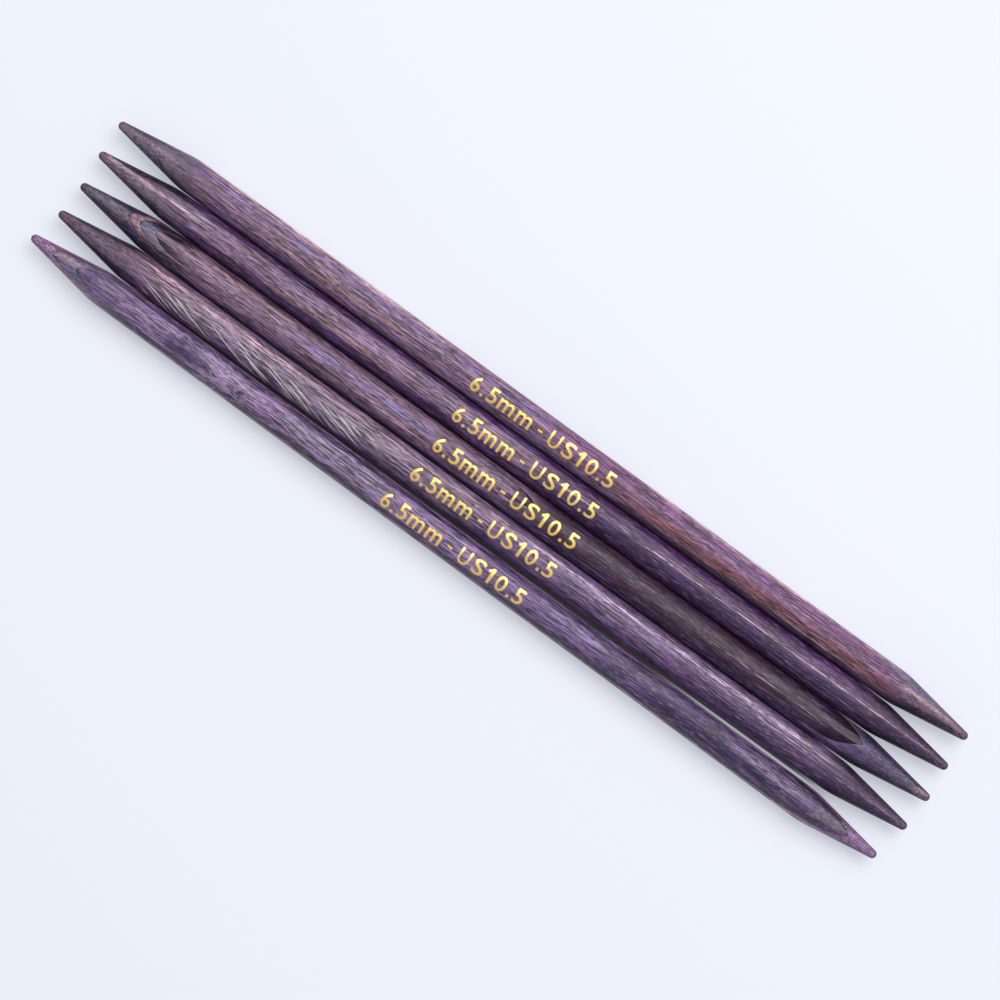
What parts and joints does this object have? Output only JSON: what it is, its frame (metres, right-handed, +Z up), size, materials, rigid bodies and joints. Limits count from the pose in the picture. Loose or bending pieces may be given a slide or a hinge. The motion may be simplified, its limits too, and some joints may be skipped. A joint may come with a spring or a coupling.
{
  "type": "double pointed knitting needles",
  "caption": "Row of loose double pointed knitting needles in laminated dyed birch, straight round shafts tapering to a blunt point at both ends.",
  "frame": {"origin": "centre of the row's outline seen from above, at the level of the surface that the needles lie on", "axes": "+X along the needles in the reading direction of their size marks, +Y across the row towards needle_1, +Z up"},
  "size_m": [0.1968, 0.0342, 0.0065],
  "materials": {
    "rose_veneer": "satin lacquer",
    "mauve_veneer": "satin lacquer",
    "plum_veneer": "satin lacquer",
    "magenta_veneer": "satin lacquer",
    "violet_veneer": "satin lacquer",
    "slate_veneer": "satin lacquer",
    "charcoal_veneer": "satin lacquer",
    "rust_veneer": "satin lacquer",
    "tan_veneer": "satin lacquer",
    "gold_foil": "hot-stamped foil"
  },
  "bodies": {
    "needle_1": {"needle_1_ply_1": "mauve_veneer", "needle_1_ply_2": "violet_veneer", "needle_1_ply_3": "rose_veneer", "needle_1_ply_4": "magenta_veneer", "needle_1_ply_5": "mauve_veneer", "needle_1_ply_6": "rust_veneer", "needle_1_ply_7": "plum_veneer"},
    "needle_2": {"needle_2_ply_1": "plum_veneer", "needle_2_ply_2": "mauve_veneer", "needle_2_ply_3": "mauve_veneer", "needle_2_ply_4": "slate_veneer", "needle_2_ply_5": "tan_veneer", "needle_2_ply_6": "plum_veneer", "needle_2_ply_7": "violet_veneer"},
    "needle_3": {"needle_3_ply_1": "rose_veneer", "needle_3_ply_2": "charcoal_veneer", "needle_3_ply_3": "violet_veneer", "needle_3_ply_4": "slate_veneer", "needle_3_ply_5": "plum_veneer", "needle_3_ply_6": "mauve_veneer", "needle_3_ply_7": "slate_veneer"},
    "needle_4": {"needle_4_ply_1": "tan_veneer", "needle_4_ply_2": "rose_veneer", "needle_4_ply_3": "mauve_veneer", "needle_4_ply_4": "slate_veneer", "needle_4_ply_5": "violet_veneer", "needle_4_ply_6": "plum_veneer", "needle_4_ply_7": "plum_veneer"},
    "needle_5": {"needle_5_ply_1": "mauve_veneer", "needle_5_ply_2": "slate_veneer", "needle_5_ply_3": "magenta_veneer", "needle_5_ply_4": "rose_veneer", "needle_5_ply_5": "mauve_veneer", "needle_5_ply_6": "plum_veneer", "needle_5_ply_7": "slate_veneer"}
  },
  "joints": [
    {"name": "needle_1_lift", "type": "slide", "parent": "needle_3", "child": "needle_1", "axis": [0, 0, 1], "range_m": [0, 0.04]},
    {"name": "needle_2_lift", "type": "slide", "parent": "needle_3", "child": "needle_2", "axis": [0, 0, 1], "range_m": [0, 0.04]},
    {"name": "needle_4_lift", "type": "slide", "parent": "needle_3", "child": "needle_4", "axis": [0, 0, 1], "range_m": [0, 0.04]},
    {"name": "needle_5_lift", "type": "slide", "parent": "needle_3", "child": "needle_5", "axis": [0, 0, 1], "range_m": [0, 0.04]}
  ]
}
